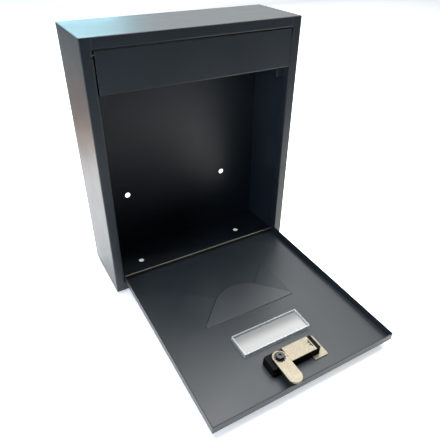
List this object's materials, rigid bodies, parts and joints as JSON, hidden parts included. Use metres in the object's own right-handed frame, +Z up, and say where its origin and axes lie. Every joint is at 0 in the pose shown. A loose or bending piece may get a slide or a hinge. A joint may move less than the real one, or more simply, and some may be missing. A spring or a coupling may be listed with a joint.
{
  "type": "wall mounted mailbox",
  "caption": "Wall mounted sheet steel mailbox with a top letter flap, a drop-down front door, a name card window and a combination cam lock; four screw holes in its back.",
  "frame": {"origin": "middle of the four wall screw holes, on the back face of the case", "axes": "+X to the right of someone facing the mailbox, +Y out of its back into the wall, +Z up"},
  "size_m": [0.32, 0.3999, 0.3923],
  "materials": {
    "powder_coated_steel": "satin black powder coat with a fine texture",
    "zinc_plated_steel": "zinc plated, warm passivated, satin",
    "black_oxide_steel": "black oxide, semi-gloss",
    "black_zinc_casting": "black lacquered die casting",
    "dial_nylon": "moulded black nylon with white figures",
    "clear_acrylic": "clear moulded plastic",
    "card_paper": "uncoated white card"
  },
  "bodies": {
    "case": {"back_panel": "powder_coated_steel", "left_side_panel": "powder_coated_steel", "right_side_panel": "powder_coated_steel", "top_panel": "powder_coated_steel", "bottom_panel": "powder_coated_steel", "strike_rail": "powder_coated_steel", "left_stop_tab": "powder_coated_steel", "right_stop_tab": "powder_coated_steel", "door_hinge_rod": "zinc_plated_steel", "flap_hinge_rod": "zinc_plated_steel", "door_rod_push_nuts": "zinc_plated_steel", "flap_rod_push_nuts": "zinc_plated_steel"},
    "flap": {"mail_flap": "powder_coated_steel"},
    "door": {"door_panel": "powder_coated_steel", "name_window": "clear_acrylic", "name_card": "card_paper", "lock_housing": "black_zinc_casting", "lock_back_plate": "zinc_plated_steel", "lock_retainer": "zinc_plated_steel", "dial_axle": "zinc_plated_steel"},
    "cam": {"lock_spindle": "zinc_plated_steel", "lock_knob": "black_zinc_casting", "cam_lever": "zinc_plated_steel", "cam_washer": "black_oxide_steel", "cam_screw": "black_oxide_steel"},
    "dial_1": {"number_dial_1": "dial_nylon"},
    "dial_2": {"number_dial_2": "dial_nylon"},
    "dial_3": {"number_dial_3": "dial_nylon"},
    "dial_4": {"number_dial_4": "dial_nylon"}
  },
  "joints": [
    {"name": "door_hinge", "type": "hinge", "parent": "case", "child": "door", "pos_m": [0, -0.102, -0.1823], "axis": [-1, 0, 0], "range_deg": [0, 91.3]},
    {"name": "flap_hinge", "type": "hinge", "parent": "case", "child": "flap", "pos_m": [0, -0.105, 0.1645], "axis": [-1, 0, 0], "range_deg": [0, 85]},
    {"name": "cam_turn", "type": "hinge", "parent": "door", "child": "cam", "pos_m": [-0.0216, -0.35712, -0.17999], "axis": [0, 0.0227, -0.9997], "range_deg": [0, 90]},
    {"name": "dial_1_turn", "type": "hinge", "parent": "door", "child": "dial_1", "pos_m": [0.0016, -0.35689, -0.19009], "axis": [1, 0, 0], "continuous": true},
    {"name": "dial_2_turn", "type": "hinge", "parent": "door", "child": "dial_2", "pos_m": [0.01, -0.35689, -0.19009], "axis": [1, 0, 0], "continuous": true},
    {"name": "dial_3_turn", "type": "hinge", "parent": "door", "child": "dial_3", "pos_m": [0.0184, -0.35689, -0.19009], "axis": [1, 0, 0], "continuous": true},
    {"name": "dial_4_turn", "type": "hinge", "parent": "door", "child": "dial_4", "pos_m": [0.0268, -0.35689, -0.19009], "axis": [1, 0, 0], "continuous": true}
  ]
}
